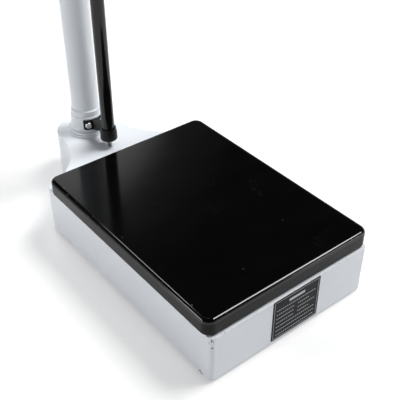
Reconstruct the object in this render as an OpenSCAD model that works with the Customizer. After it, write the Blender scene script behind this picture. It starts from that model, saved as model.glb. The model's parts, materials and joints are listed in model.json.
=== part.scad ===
// Mechanical body scale: a lever platform, a column with a double-bar beam, and a telescopic height rod.
// The origin is the centre of the platform's top face. +X is to the right of a person who stands on
// the platform and faces the column, +Y runs to the column and +Z is up.

/* [Platform] */
// Width of the platform, side to side
plat_w = 284; // [250:1:330]
// Length of the platform, front to back
plat_l = 379; // [340:1:430]
// Radius of the platform's corners, seen from above
plat_corner = 14; // [8:1:30]
// Radius of the rolled edge round the platform's top
plat_edge = 5.5; // [2:0.5:7]
// Height of the platform's side skirt
plat_skirt = 24; // [20:0.5:32]
// Thickness of the platform's sheet
plat_skin = 3; // [2:0.5:4]
// Width of a rail of the frame under the platform
rail_w = 10; // [8:1:12]
// Depth of a rail of the frame under the platform
rail_h = 13; // [10:1:16]

/* [Base] */
// How far the platform stands out over the base at each side
side_lap = 3.5; // [0:0.5:6]
// Height of the base casting's walls
base_h = 76; // [70:1:100]
// Thickness of the base casting's walls
base_wall = 6; // [4:0.5:8]
// Radius of the base casting's upright corners
base_corner = 7; // [4:0.5:12]
// How far the base stands out in front of the platform
base_front = 3.5; // [2:0.5:12]
// How far the base stands out behind the platform
base_back = 13; // [10:0.5:25]
// Thickness of the closed deck under the column
deck_t = 8; // [6:0.5:12]
// Gap between the platform's skirt and the base's rim
rim_gap = 2; // [1:0.25:4]
// Radius of the neck that carries the column
neck_r = 52; // [45:1:62]
// Distance of the column's axis behind the platform's rear edge
neck_reach = 122.5; // [100:0.5:150]
// Height of the rubber feet
foot_h = 4; // [3:0.5:10]
// Radius of the rubber feet
foot_r = 11; // [9:0.5:14]
// Thickness of the sheet-steel bottom cover
cover_t = 1.2; // [0.8:0.1:2]

/* [Name plate] */
// Width of the plate on the front wall
plate_w = 84; // [60:1:110]
// Height of the plate on the front wall
plate_h = 71; // [50:1:74]
// Thickness of the plate
plate_t = 0.6; // [0.4:0.1:1.2]
// How far the plate's centre lies to the right of the base's centre
plate_x = 5; // [-20:1:20]

/* [Column] */
// Outer radius of the column tube
column_r = 22.75; // [20:0.25:26]
// Wall of the column tube
column_wall = 2; // [1.5:0.25:3]
// Height of the column's top above the platform
column_top = 846; // [760:1:1100]
// Wall of the collar that holds the column's foot
collar_wall = 3.2; // [2.5:0.1:5]
// Height of the collar's straight part above its flange
collar_h = 20.6; // [19:0.1:30]
// Radius of the fillet between the collar's flange and its straight part
collar_fillet = 5; // [3:0.5:7]

/* [Height rod] */
// Distance of the height rod's axis in front of the column's axis
rod_reach = 68.7; // [60:0.1:90]
// Outer radius of the height rod's black outer tube
rod_r = 10.4; // [9.5:0.1:12]
// Height of the outer tube's top above the platform
rod_top = 638; // [500:1:700]
// Outer radius of the middle tube
middle_r = 8; // [7:0.1:8.6]
// Outer radius of the inner tube
inner_r = 5.5; // [4:0.1:6]
// Width of the strap that holds the rod to the column
strap_h = 18; // [14:1:20]
// Thickness of the strap
strap_t = 2; // [1.5:0.25:3]
// Angle of each strap screw from the column's front
strap_screw_angle = 25; // [22:1:40]
// Length of the head bar that is lowered onto the head
head_bar_l = 220; // [150:1:260]
// Width of the head bar
head_bar_w = 26; // [24:1:40]

/* [Levers] */
// Distance between a lever's fulcrum pivot and its load pivot
load_arm = 25; // [22:0.5:34]
// Distance of the long lever's fulcrum behind the platform's front edge
long_inset = 39.5; // [30:0.5:50]
// Distance of the short lever's fulcrum in front of the platform's rear edge
short_inset = 24.5; // [18:0.5:30]
// Width of a lever's arms
arm_w = 10; // [8:0.5:12]
// Height of a lever's arms
arm_h = 18; // [16:1:20]
// Width of a pivot with a knife edge
knife_w = 8; // [6:0.5:8]

/* [Beam] */
// Distance between the beam's fulcrum pivot and its load pivot
beam_arm = 16; // [15:0.5:20]
// Height of the beam's pivots above the head's shelf
beam_rise = 60; // [56:1:75]
// Travel of the main poise
main_travel = 156; // [120:1:180]
// Travel of the fractional poise
fraction_travel = 160; // [120:1:186]
// Height of the main bar
main_bar_h = 18; // [14:1:20]
// Thickness of the main bar
main_bar_t = 5; // [4:0.5:6]
// Height of the fractional bar
fraction_bar_h = 12; // [9:1:14]
// Width of the main poise along its bar
main_poise_w = 40; // [30:1:46]
// Width of the fractional poise along its bar
fraction_poise_w = 24; // [16:1:26]
// Tilt of the beam from level to either stop, in degrees
beam_tilt = 2.5; // [1.5:0.25:3]

/* [Hidden] */
$fn = 64;
eps = 0.5;

// Clearances
press_gap = 0.05;
slide_gap = 0.06;
flat_gap = 0.15;
hair = 0.02;
seat_gap = 0.3;

// Heights, from the platform's top down to the floor
rim_z = -plat_skirt - rim_gap;
base_z = rim_z - base_h;
cover_recess = 1.8;
cover_top = base_z + cover_recess + cover_t;
deck_z = rim_z - deck_t;

// The base's plan
base_w = plat_w - 2 * side_lap;
base_hw = base_w / 2;
base_y0 = -plat_l / 2 - base_front;
base_y1 = plat_l / 2 + base_back;
col_y = plat_l / 2 + neck_reach;
deck_lap = 12;
deck_y = plat_l / 2 - deck_lap;
flank_dx = base_hw - neck_r;
flank_dy = col_y - base_y1;
flank_r = (flank_dx * flank_dx + flank_dy * flank_dy) / (2 * flank_dx);

// Levers: arms, pivots and seats
knife_h = arm_h / 2;
seat_t = 10;
seat_w = 14;
seat_h = 8;
seat_slope = 30;
leg_inset = 20;
leg_gap = 2.5;
leg_x = base_hw - base_wall - leg_inset;
lever_x = leg_x - seat_t / 2 - arm_w / 2 - leg_gap;
pivot_x0 = lever_x - arm_w / 2 - 2;
pivot_x1 = leg_x + seat_t / 2 + eps;
short_rise = 15;
long_rise = 27;
short_z = cover_top + short_rise;
long_z = short_z + long_rise;
long_y = -plat_l / 2 + long_inset;
short_y = plat_l / 2 - short_inset;
link_y = (long_y + short_y) / 2;
long_load_y = long_y + load_arm;
short_load_y = short_y - load_arm;
arm_tail = 8;
arm_lead = 13;
link_knife_w = 6;
link_knife_h = 8;
link_knife_l = 16;
link_bar_w = arm_w - 2;
link_bar_h = 9.5;
link_bar_drop = 2.5;
link_t = 5;
link_rail = 4.5;
link_cap = 6;
apex_x = 22;
nose_l = 62;
rail_end = 30;

// Feet and cover posts
foot_x = base_hw - foot_r - 1;
foot_front = 22;
foot_rear = 26.5;
foot_ys = [base_y0 + foot_front, base_y1 - foot_rear];
foot_boss_r = foot_r + 1;
foot_boss_h = 10;
post_r = 5;
post_h = 20;
post_in = base_wall + post_r - 1;
cover_screw_r = 1.6;
cover_head_r = 3.2;
cover_head_h = 1.5;
foot_screw_r = 2.4;
foot_head_r = 4.6;
foot_head_h = 1.5;
post_places = concat(
    [for (s = [-1, 1], y = [base_y0 + 0.33 * plat_l, base_y0 + 0.7 * plat_l]) [s * (base_hw - post_in), y]],
    [for (s = [-1, 1]) [s * base_w * 0.22, base_y0 + post_in]],
    [[0, col_y + neck_r - post_in]]
);

// Column, collar and pull rod
column_bore = column_r - column_wall;
column_socket = 3;
boss_h = 3.4;
collar_r = column_r + press_gap + collar_wall;
flange_r = collar_r + collar_fillet;
boss_r = flange_r + 2;
collar_z = rim_z + boss_h;
flange_h = 4.2;
collar_bottom = collar_z + flange_h + collar_fillet;
lip_h = 12;
lip_step = 1.2;
pull_r = 2.5;
pull_hole_r = column_bore - 3;

// Height rod: tubes, guides and brackets
rod_y = col_y - rod_reach;
rod_wall = 1.2;
middle_wall = 1.2;
inner_wall = 1;
guide_wall = 2.6;
guide_h = 12;
guide_grip = 20;
ring_wall = 2.4;
ring_top = 8.5;
ring_z = 4;
cap_bottom = -12;
cap_r = rod_r + 3.6;
cap_floor = 3;
foot_stud_r = 3.4;
stud_sunk = 6;
strap_z = collar_bottom + 0.4;
strap_lap = 17;
strap_corner = 5;
strap_corner_in = 0.4;
arm_hw = 6;
arm_low = -3.5;
strap_below_top = 50;
upper_strap_z = rod_top - strap_below_top;
upper_turn = collar_r / column_r;
screw_r = 2.45;
screw_head_r = 5.4;
screw_head_h = 3;
guide_gap = 2;
outer_guide_top = rod_top + guide_h;
middle_top = outer_guide_top + guide_gap + guide_grip;
middle_guide_top = middle_top + guide_h;
middle_bottom = cap_bottom + 17;
inner_bottom = middle_bottom + 3;
head_block_r = 10;
head_block_z = middle_guide_top + guide_gap;
head_block_h = 26;
head_block_roof = 6;
hinge_reach = 20;
hinge_y = rod_y - hinge_reach;
hinge_rise = 16;
hinge_z = head_block_z + hinge_rise;
hinge_pin_r = 2.5;
knuckle_r = 6;
knuckle_hw = 6;
ear_t = 4;
head_bar_t = 4;
head_bar_start = 12;

// Head, beam and poises
shelf_t = 10;
shelf_z = column_top + 4;
shelf_top = shelf_z + shelf_t;
shelf_hw = 20;
shelf_left = 60;
sleeve_r = column_r + 6;
sleeve_h = 50;
pivot_z = shelf_top + beam_rise;
beam_x = beam_arm;
block_hw = 5;
block_left = 14;
bars_x = 50;
bar_margin = 2;
tenon = 12;
main_bar_drop = 4;
fraction_bar_rise = 26;
main_bar_z = pivot_z - main_bar_drop;
fraction_bar_z = pivot_z + fraction_bar_rise;
fraction_bar_t = 4;
main_x0 = bars_x + bar_margin + main_poise_w / 2;
fraction_x0 = bars_x + bar_margin + fraction_poise_w / 2;
bars_end = max(
    main_x0 + main_travel + main_poise_w / 2,
    fraction_x0 + fraction_travel + fraction_poise_w / 2
) + bar_margin;
end_block_w = 14;
end_x = bars_end + end_block_w;
guard_gap = 6;
guard_t = 8;
guard_x = end_x + guard_gap;
pointer_h = 6;
pointer_t = 4;
pointer_x = guard_x + guard_t + guard_gap;
guard_hw = 8;
guard_rim = 5;
guard_stop_gap = 0.4;
guard_opening = pointer_h / 2 + (guard_x + guard_t - beam_x) * sin(beam_tilt) + guard_stop_gap;
shelf_right = guard_x + guard_t + 8;
stand_x = 9;
stand_y = 13;
stand_t = 7;
stand_plate = 4;
balance_z = pivot_z + 7;
balance_r = 2.5;
balance_l = 60;
balance_weight_r = 13;
balance_weight_w = 14;
balance_x = -block_left - balance_l / 2 - 2;
main_poise_hw = 22.5;
main_poise_drop = 46;
main_poise_cap = 4;
fraction_poise_hw = 14;
fraction_poise_h = 26;
fraction_screw_r = 1.5;
fraction_screw_l = (fraction_poise_h - fraction_bar_h) / 2 - flat_gap;
stirrup_y = 9;
stirrup_t = 2.5;
stirrup_hw = 7;
stirrup_window = knife_w / 2 + 0.6;
stirrup_plate = 5;
nut_h = 4;
nut_r = 4.6;
nut_gap = 5;
upper_hang = 34;
lower_hang = 17;
upper_plate_z = pivot_z - upper_hang;
lower_plate_z = long_z + lower_hang;

// Helpers
module mirrored() {
    children();
    mirror([1, 0, 0]) children();
}

module at_column() {
    translate([0, col_y, 0]) children();
}

module at_rod() {
    translate([0, rod_y, 0]) children();
}

module along_x(length) {
    rotate([90, 0, 90]) linear_extrude(length, center = true) children();
}

module along_y(length) {
    rotate([90, 0, 0]) linear_extrude(length, center = true) children();
}

// A bar seen from above, from one point to another, with round ends that are a hair wider than it
module bar_plan(from, to, width) {
    run = to - from;
    side = width - hair;
    translate(from) rotate(atan2(run[1], run[0])) translate([0, -side / 2]) square([norm(run), side]);
    translate(from) circle(width / 2);
    translate(to) circle(width / 2);
}

module round_plan(width, length, radius) {
    square([width - 2 * radius, length], center = true);
    square([width, length - 2 * radius], center = true);
    for (x = [-1, 1], y = [-1, 1])
        translate([x * (width / 2 - radius), y * (length / 2 - radius)]) circle(radius);
}

// A pivot's section: a bar with its lower edge ground to a knife, which lies at the origin
module knife_section(width, height) {
    half = width / 2;
    polygon([[0, 0], [half, half], [half, height], [-half, height], [-half, half]]);
}

// A seat's section: a block with a shallow V just under a knife edge at the origin
module seat_section() {
    shoulder = seat_w / 2 * tan(seat_slope) - seat_gap;
    polygon([
        [-seat_w / 2, -seat_h], [seat_w / 2, -seat_h], [seat_w / 2, shoulder],
        [0, -seat_gap], [-seat_w / 2, shoulder]
    ]);
}

module edge_down(length, width = knife_w, height = knife_h) {
    along_x(length) knife_section(width, height);
}

module edge_up(length, width = knife_w, height = knife_h) {
    mirror([0, 0, 1]) edge_down(length, width, height);
}

// A pan-head screw along Z: its head stands on z = 0 and its shank goes down
module pan_screw(head_r, head_h, shank_r, shank_l) {
    difference() {
        union() {
            rotate_extrude() polygon(concat(
                [[0, 0], [head_r, 0], [head_r, 0.35 * head_h]],
                [for (a = [0:15:90]) [
                    head_r * (0.62 + 0.38 * cos(a)),
                    head_h * (0.35 + 0.65 * sin(a))
                ]],
                [[0, head_h]]
            ));
            translate([0, 0, -shank_l]) cylinder(r = shank_r, h = shank_l);
        }
        for (turn = [0, 90]) rotate(turn)
            translate([-head_r / 2, -head_r / 10, 0.45 * head_h]) cube([head_r, head_r / 5, head_h]);
    }
}

// The base
module base_plan(inset = 0) {
    half = base_hw - inset;
    corner = max(base_corner - inset, 0.5);
    arc = flank_r + inset;
    arc_x = neck_r + flank_r;
    corner_x = half - corner;
    corner_y = col_y - sqrt(pow(arc + corner, 2) - pow(arc_x - corner_x, 2));
    touch_x = corner_x + corner * (arc_x - corner_x) / (arc + corner);
    front = base_y0 + inset;
    translate([-half, front + corner]) square([2 * half, corner_y - front - corner]);
    translate([-corner_x, front]) square([2 * corner_x, corner + eps]);
    for (s = [-1, 1]) {
        translate([s * corner_x, front + corner]) circle(corner);
        translate([s * corner_x, corner_y]) circle(corner);
    }
    difference() {
        translate([-touch_x, corner_y - eps]) square([2 * touch_x, col_y - corner_y + eps]);
        for (s = [-1, 1]) translate([s * arc_x, col_y]) circle(arc);
    }
    translate([0, col_y]) circle(neck_r - inset);
}

module foot_places() {
    for (s = [-1, 1], y = foot_ys) translate([s * foot_x, y, base_z]) children();
}

// The places of a strap's screws; turn widens their angle on a thinner tube
module strap_screw_places(z, turn = 1) {
    at_column() for (s = [-1, 1]) rotate(s * strap_screw_angle * turn)
        translate([0, 0, z + strap_h / 2]) rotate([90, 0, 0]) children();
}

module base_casting() {
    color("whitesmoke") difference() {
        union() {
            translate([0, 0, base_z]) linear_extrude(base_h) base_plan();
            at_column() translate([0, 0, rim_z - eps]) cylinder(r = boss_r, h = boss_h + eps);
        }
        difference() {
            translate([0, 0, base_z - eps]) linear_extrude(base_h + 2 * eps) base_plan(base_wall);
            // The closed deck behind the platform
            translate([-base_hw, deck_y, deck_z])
                cube([base_w, col_y + neck_r - deck_y, deck_t + boss_h + 1]);
            foot_places() cylinder(r = foot_boss_r, h = foot_boss_h);
            for (p = post_places) translate([p[0], p[1], cover_top]) cylinder(r = post_r, h = post_h);
            mirrored() {
                seat_pillar(long_y, long_z);
                seat_pillar(short_y, short_z);
            }
        }
        at_column() {
            translate([0, 0, deck_z - eps]) cylinder(r = pull_hole_r, h = deck_t + boss_h + 2 * eps);
            translate([0, 0, rim_z - column_socket])
                cylinder(r = column_r + press_gap, h = boss_h + column_socket + eps);
        }
        at_rod() translate([0, 0, rim_z - stud_sunk])
            cylinder(r = foot_stud_r + press_gap, h = stud_sunk + eps);
        foot_places() translate([0, 0, -eps])
            cylinder(r = foot_screw_r + press_gap, h = foot_boss_h - 2 + eps);
        for (p = post_places) translate([p[0], p[1], cover_top - eps])
            cylinder(r = cover_screw_r + press_gap, h = 8 + eps);
    }
}

// A pillar cast on the side wall, which carries a lever's seat
module seat_pillar(y, z) {
    inner = leg_x - seat_t / 2 - eps;
    translate([inner, y - seat_w / 2 - 2, cover_top + 1])
        cube([base_hw - inner, seat_w + 4, z - seat_h - cover_top - 1]);
}

module bottom_cover() {
    color("gray") difference() {
        translate([0, 0, cover_top - cover_t]) linear_extrude(cover_t) difference() {
            base_plan(base_wall + 0.6);
            for (s = [-1, 1], y = foot_ys) translate([s * foot_x, y]) circle(foot_boss_r + 0.8);
        }
        for (p = post_places) translate([p[0], p[1], cover_top - cover_t - eps])
            cylinder(r = cover_screw_r + 0.3, h = cover_t + 2 * eps);
    }
}

module cover_screws() {
    color("silver") for (p = post_places) translate([p[0], p[1], cover_top - cover_t])
        mirror([0, 0, 1]) pan_screw(cover_head_r, cover_head_h, cover_screw_r, cover_t + 7);
}

module feet() {
    color("black") foot_places() mirror([0, 0, 1]) difference() {
        cylinder(r1 = foot_r, r2 = foot_r - 0.8, h = foot_h);
        translate([0, 0, -eps]) cylinder(r = foot_screw_r + 0.3, h = foot_h + 2 * eps);
        translate([0, 0, foot_h - foot_head_h - 0.7]) cylinder(r = foot_head_r + 0.4, h = foot_head_h + 1);
    }
}

module foot_screws() {
    color("silver") foot_places() translate([0, 0, -foot_h + foot_head_h + 0.7])
        mirror([0, 0, 1]) pan_screw(foot_head_r, foot_head_h, foot_screw_r, foot_h - foot_head_h + 6);
}

module name_plate() {
    color("black") translate([plate_x, base_y0 - plate_t / 2, rim_z - base_h / 2 + 1.5])
        along_y(plate_t) round_plan(plate_w, plate_h, 2);
}

// Seats of the two levers' fulcrum pivots, one on each pillar
module lever_seats() {
    color("dimgray") mirrored() {
        translate([leg_x, long_y, long_z]) along_x(seat_t) seat_section();
        translate([leg_x, short_y, short_z]) along_x(seat_t) seat_section();
    }
}

// The column and its collar
module column_collar() {
    bore = column_r + press_gap;
    bottom = collar_z;
    color("whitesmoke") difference() {
        at_column() rotate_extrude() polygon(concat(
            [
                [bore, bottom], [flange_r - 1, bottom], [flange_r - 1, bottom + 0.8],
                [flange_r, bottom + 0.8], [flange_r, bottom + flange_h]
            ],
            [for (a = [75:-15:0]) [
                flange_r - collar_fillet * cos(a),
                collar_bottom - collar_fillet * sin(a)
            ]],
            [
                [collar_r, collar_bottom + collar_h],
                [collar_r - lip_step, collar_bottom + collar_h + lip_step],
                [collar_r - lip_step, collar_bottom + collar_h + lip_h - lip_step],
                [collar_r - 2 * lip_step, collar_bottom + collar_h + lip_h],
                [bore, collar_bottom + collar_h + lip_h]
            ]
        ));
        strap_screw_places(strap_z) cylinder(r = screw_r + press_gap, h = collar_r + eps);
        set_screw_places(0) cylinder(r = screw_r + press_gap, h = collar_r + eps);
    }
}

module set_screw_places(z) {
    at_column() for (s = [-1, 1])
        rotate(180 + s * 40) translate([0, 0, z]) rotate([90, 0, 0]) children();
}

// A headless screw in a radial hole, from the tube's face out to just under the collar's face
module set_screw(inner, outer) {
    difference() {
        translate([0, 0, inner]) cylinder(r = screw_r, h = outer - inner);
        translate([0, 0, outer - 1.2]) cylinder(r = 1.5, h = 2, $fn = 6);
    }
}

module collar_set_screws() {
    color("silver") set_screw_places(0) set_screw(column_r + press_gap, collar_r - 0.6);
}

module column_tube() {
    bottom = rim_z - column_socket;
    color("white") difference() {
        at_column() translate([0, 0, bottom]) difference() {
            cylinder(r = column_r, h = column_top - bottom);
            translate([0, 0, -eps]) cylinder(r = column_bore, h = column_top - bottom + 2 * eps);
        }
        strap_screw_places(upper_strap_z, upper_turn) cylinder(r = screw_r + press_gap, h = column_r + eps);
    }
}

// The height rod's brackets: a strap on the column, an arm and a ring round the rod's tube
module rod_bracket(grip_r, turn, z, arm_bottom, ring_bottom, ring_end) {
    outer = grip_r + strap_t;
    ring_r = rod_r + ring_wall;
    arm_y = rod_y + ring_r + 1;
    half_angle = (strap_screw_angle + strap_lap) * turn;
    difference() {
        union() {
            at_column() translate([0, 0, z]) intersection() {
                cylinder(r = outer, h = strap_h);
                linear_extrude(strap_h) polygon([
                    [0, 0],
                    [2 * outer * sin(half_angle), -2 * outer * cos(half_angle)],
                    [-2 * outer * sin(half_angle), -2 * outer * cos(half_angle)]
                ]);
            }
            // The arm from the strap to the ring
            rotate([90, 0, 90]) linear_extrude(2 * arm_hw, center = true) polygon([
                [rod_y, arm_bottom],
                [arm_y, arm_bottom],
                [col_y - outer, z],
                [col_y - grip_r, z],
                [col_y - grip_r, z + strap_h],
                [col_y - outer, z + strap_h],
                [arm_y, ring_end],
                [rod_y, ring_end]
            ]);
            at_rod() translate([0, 0, ring_bottom]) cylinder(r = ring_r, h = ring_end - ring_bottom);
        }
        at_column() translate([0, 0, z - eps]) cylinder(r = grip_r, h = strap_h + 2 * eps);
        at_rod() translate([0, 0, z - eps])
            cylinder(r = rod_r + press_gap, h = ring_end - z + 2 * eps);
        strap_screw_places(z, turn) cylinder(r = screw_r + 0.3, h = outer + eps);
        mirrored() strap_corner_cut(outer, turn, z);
    }
}

// What is cut off to round the lower corner of a strap's end
module strap_corner_cut(outer, turn, z) {
    end_x = outer * sin(strap_lap * turn);
    hub = strap_corner - strap_corner_in;
    at_column() rotate(strap_screw_angle * turn) translate([0, 0, z]) rotate([90, 0, 0])
        linear_extrude(outer + eps) difference() {
            translate([end_x - hub, -eps]) square(hub + eps);
            translate([end_x - hub, hub]) circle(strap_corner);
        }
}

module rod_bracket_lower() {
    color("black") difference() {
        rod_bracket(collar_r + press_gap, 1, strap_z, arm_low, ring_z, ring_top);
        at_rod() translate([0, 0, strap_z - eps]) cylinder(r = cap_r + 0.3, h = ring_z - strap_z + eps);
    }
}

module rod_bracket_upper() {
    color("black") rod_bracket(column_r + press_gap, upper_turn, upper_strap_z,
        upper_strap_z, upper_strap_z, upper_strap_z + strap_h);
}

module strap_screw(grip_r, shank) {
    translate([0, 0, grip_r + strap_t]) pan_screw(screw_head_r, screw_head_h, screw_r, strap_t + shank);
}

module lower_bracket_screws() {
    color("silver") strap_screw_places(strap_z) strap_screw(collar_r + 0.15, collar_wall - 0.3);
}

module upper_bracket_screws() {
    color("silver") strap_screw_places(upper_strap_z, upper_turn)
        strap_screw(column_r + 0.15, column_wall + 1);
}

module rod_end_cap() {
    color("black") at_rod() translate([0, 0, cap_bottom]) difference() {
        union() {
            cylinder(r = cap_r, h = 2);
            translate([0, 0, 2]) cylinder(r1 = cap_r, r2 = cap_r - 0.4, h = ring_z - cap_bottom - 2);
        }
        translate([0, 0, cap_floor]) cylinder(r = rod_r + press_gap, h = ring_z - cap_bottom);
        translate([0, 0, -eps]) cylinder(r = foot_stud_r + press_gap, h = cap_floor + 2 * eps);
    }
}

module rod_foot_screw() {
    color("dimgray") at_rod() translate([0, 0, rim_z - stud_sunk])
        cylinder(r = foot_stud_r, h = cap_bottom + 2 - rim_z + stud_sunk);
}

module rod_outer_tube() {
    bottom = cap_bottom + 3;
    color("black") at_rod() translate([0, 0, bottom]) difference() {
        cylinder(r = rod_r, h = rod_top - bottom);
        translate([0, 0, -eps]) cylinder(r = rod_r - rod_wall, h = rod_top - bottom + 2 * eps);
    }
}

// A guide on the end of one tube, in which the next tube slides
module tube_guide(tube_r, slider_r, tube_top) {
    outer = tube_r + guide_wall;
    at_rod() translate([0, 0, tube_top - guide_grip]) difference() {
        union() {
            cylinder(r = outer, h = guide_grip + guide_h - 1.5);
            translate([0, 0, guide_grip + guide_h - 1.5]) cylinder(r1 = outer, r2 = outer - 1.5, h = 1.5);
        }
        translate([0, 0, -eps]) cylinder(r = tube_r + press_gap, h = guide_grip + eps);
        cylinder(r = slider_r + slide_gap, h = 2 * (guide_grip + guide_h));
    }
}

module rod_outer_guide() {
    color("black") tube_guide(rod_r, middle_r, rod_top);
}

module rod_middle_tube() {
    length = middle_top - middle_bottom;
    color("silver") at_rod() translate([0, 0, middle_bottom]) difference() {
        cylinder(r = middle_r, h = length);
        translate([0, 0, -eps]) cylinder(r = middle_r - middle_wall, h = length + 2 * eps);
    }
}

module rod_middle_guide() {
    color("black") tube_guide(middle_r, inner_r, middle_top);
}

module rod_inner_tube() {
    length = head_block_z + head_block_h - head_block_roof - inner_bottom;
    color("silver") at_rod() translate([0, 0, inner_bottom]) difference() {
        cylinder(r = inner_r, h = length);
        translate([0, 0, -eps]) cylinder(r = inner_r - inner_wall, h = length + 2 * eps);
    }
}

module hinge_line() {
    translate([0, hinge_y, hinge_z]) rotate([0, 90, 0]) children();
}

module head_bar_bracket() {
    ear_out = knuckle_hw + 0.5 + ear_t;
    color("black") difference() {
        union() {
            at_rod() translate([0, 0, head_block_z]) cylinder(r = head_block_r, h = head_block_h);
            mirrored() {
                translate([knuckle_hw + 0.5, hinge_y, hinge_z - 7]) cube([ear_t, hinge_reach, 14]);
                hinge_line() translate([0, 0, knuckle_hw + 0.5]) cylinder(r = 7, h = ear_t);
            }
        }
        hinge_line() translate([0, 0, -ear_out - eps])
            cylinder(r = hinge_pin_r + press_gap, h = 2 * (ear_out + eps));
        at_rod() translate([0, 0, head_block_z - eps])
            cylinder(r = inner_r + press_gap, h = head_block_h - head_block_roof + eps);
    }
}

module head_bar_pin() {
    ear_out = knuckle_hw + 0.5 + ear_t;
    color("silver") hinge_line() {
        translate([0, 0, -ear_out - 0.1]) cylinder(r = hinge_pin_r, h = 2 * ear_out + 0.2);
        mirror([0, 0, 1]) translate([0, 0, ear_out + 0.1]) cylinder(r = hinge_pin_r + 1.5, h = 1.5);
        translate([0, 0, ear_out + 0.1]) cylinder(r = hinge_pin_r + 1.5, h = 1.5);
    }
}

// The head bar, hanging from its hinge as it is stowed
module head_bar() {
    color("silver") difference() {
        union() {
            hinge_line() translate([0, 0, -knuckle_hw]) cylinder(r = knuckle_r, h = 2 * knuckle_hw);
            translate([-knuckle_hw, hinge_y - head_bar_t / 2, hinge_z - head_bar_start - 2])
                cube([2 * knuckle_hw, head_bar_t, head_bar_start + 2]);
            translate([0, hinge_y, hinge_z - head_bar_start - head_bar_l / 2])
                along_y(head_bar_t) round_plan(head_bar_w, head_bar_l, 6);
        }
        hinge_line() translate([0, 0, -knuckle_hw - eps])
            cylinder(r = hinge_pin_r + slide_gap, h = 2 * (knuckle_hw + eps));
    }
}

// The head
module head_casting() {
    web = sleeve_h - 15;
    color("whitesmoke") at_column() difference() {
        union() {
            translate([0, 0, shelf_z - sleeve_h]) cylinder(r = sleeve_r, h = sleeve_h + eps);
            translate([0, 0, shelf_z]) linear_extrude(shelf_t) {
                bar_plan([-shelf_left + shelf_hw, 0], [0, 0], 2 * shelf_hw);
                bar_plan([0, 0], [shelf_right - shelf_hw, 0], 2 * shelf_hw);
                circle(sleeve_r);
            }
            translate([0, 0, shelf_z]) along_y(6)
                polygon([
                    [-shelf_left + 14, eps], [-sleeve_r + 2, -web / 2], [sleeve_r - 2, -web],
                    [shelf_right - 14, eps]
                ]);
        }
        translate([0, 0, shelf_z - sleeve_h - eps])
            cylinder(r = column_r + press_gap, h = column_top - shelf_z + sleeve_h + eps);
        translate([0, 0, shelf_z - 5]) cylinder(r = pull_hole_r, h = shelf_t + 6);
        translate([0, -col_y, 0]) set_screw_places(shelf_z - sleeve_h + 12)
            cylinder(r = screw_r + press_gap, h = sleeve_r + eps);
    }
}

module head_set_screws() {
    color("silver") set_screw_places(shelf_z - sleeve_h + 12)
        set_screw(column_r + press_gap, sleeve_r - 0.6);
}

module stand_screw_places() {
    at_column() for (s = [-1, 1])
        translate([stand_x + seat_w / 2, s * (stand_y - 6.5), shelf_top + stand_plate]) children();
}

module beam_stand() {
    color("whitesmoke") difference() {
        at_column() {
            translate([stand_x - 3, -stand_y - stand_t, shelf_top])
                cube([seat_w + 6, 2 * (stand_y + stand_t), stand_plate]);
            for (s = [-1, 1]) translate([stand_x - 1, s * (stand_y + stand_t / 2) - stand_t / 2, shelf_top])
                cube([seat_w + 2, stand_t, pivot_z - seat_h - shelf_top]);
        }
        stand_screw_places() translate([0, 0, -stand_plate - eps])
            cylinder(r = screw_r + press_gap, h = stand_plate + 2 * eps);
    }
}

module stand_screws() {
    color("silver") stand_screw_places() pan_screw(4, 2.2, screw_r, stand_plate);
}

module beam_seats() {
    color("dimgray") at_column() for (s = [-1, 1])
        translate([beam_x, s * (stand_y + stand_t / 2), pivot_z]) along_y(stand_t) seat_section();
}

// The loop that stops the beam's pointer at either end of its tilt
module beam_guard() {
    outer_hw = guard_hw + guard_rim;
    middle = main_bar_z;
    color("whitesmoke") at_column() translate([guard_x + guard_t / 2, 0, 0]) along_x(guard_t) difference() {
        translate([-outer_hw, shelf_top])
            square([2 * outer_hw, middle + guard_opening + guard_rim - shelf_top]);
        translate([-guard_hw, middle - guard_opening]) square([2 * guard_hw, 2 * guard_opening]);
    }
}

// The platform
module tray_solid(corner, edge, width, length, bottom, top) {
    hull() for (x = [-1, 1], y = [-1, 1])
        translate([x * (width / 2 - corner), y * (length / 2 - corner), 0]) {
            translate([0, 0, bottom]) cylinder(r = corner, h = 1);
            translate([0, 0, top - edge]) rotate_extrude() translate([corner - edge, 0])
                intersection() {
                    circle(edge, $fn = 32);
                    square(edge);
                }
        }
}

module platform_tray() {
    color([0.06, 0.06, 0.06]) difference() {
        tray_solid(plat_corner, plat_edge, plat_w, plat_l, -plat_skirt, 0);
        translate([0, 0, -plat_skirt - eps]) linear_extrude(plat_skirt + eps - plat_skin)
            round_plan(plat_w - 2 * plat_skin, plat_l - 2 * plat_skin, plat_corner - plat_skin);
    }
}

module platform_frame() {
    rail_y0 = long_load_y - rail_end;
    rail_y1 = short_load_y + rail_end;
    top = -plat_skin;
    color("dimgray") {
        mirrored() {
            translate([leg_x - rail_w / 2, rail_y0, top - rail_h]) cube([rail_w, rail_y1 - rail_y0, rail_h]);
            leg(long_load_y, long_z);
            leg(short_load_y, short_z);
        }
        for (y = [long_load_y, link_y, short_load_y])
            translate([-leg_x, y - 6, top - rail_h + 2]) cube([2 * leg_x, 12, rail_h - 2]);
    }
}

module leg(y, z) {
    translate([leg_x - rail_w / 2, y - seat_w / 2 - 1, z + seat_h])
        cube([rail_w, seat_w + 2, -plat_skin - 1 - z - seat_h]);
}

module platform_seats() {
    color("dimgray") mirrored() {
        translate([leg_x, long_load_y, long_z]) mirror([0, 0, 1]) along_x(seat_t) seat_section();
        translate([leg_x, short_load_y, short_z]) mirror([0, 0, 1]) along_x(seat_t) seat_section();
    }
}

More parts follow.
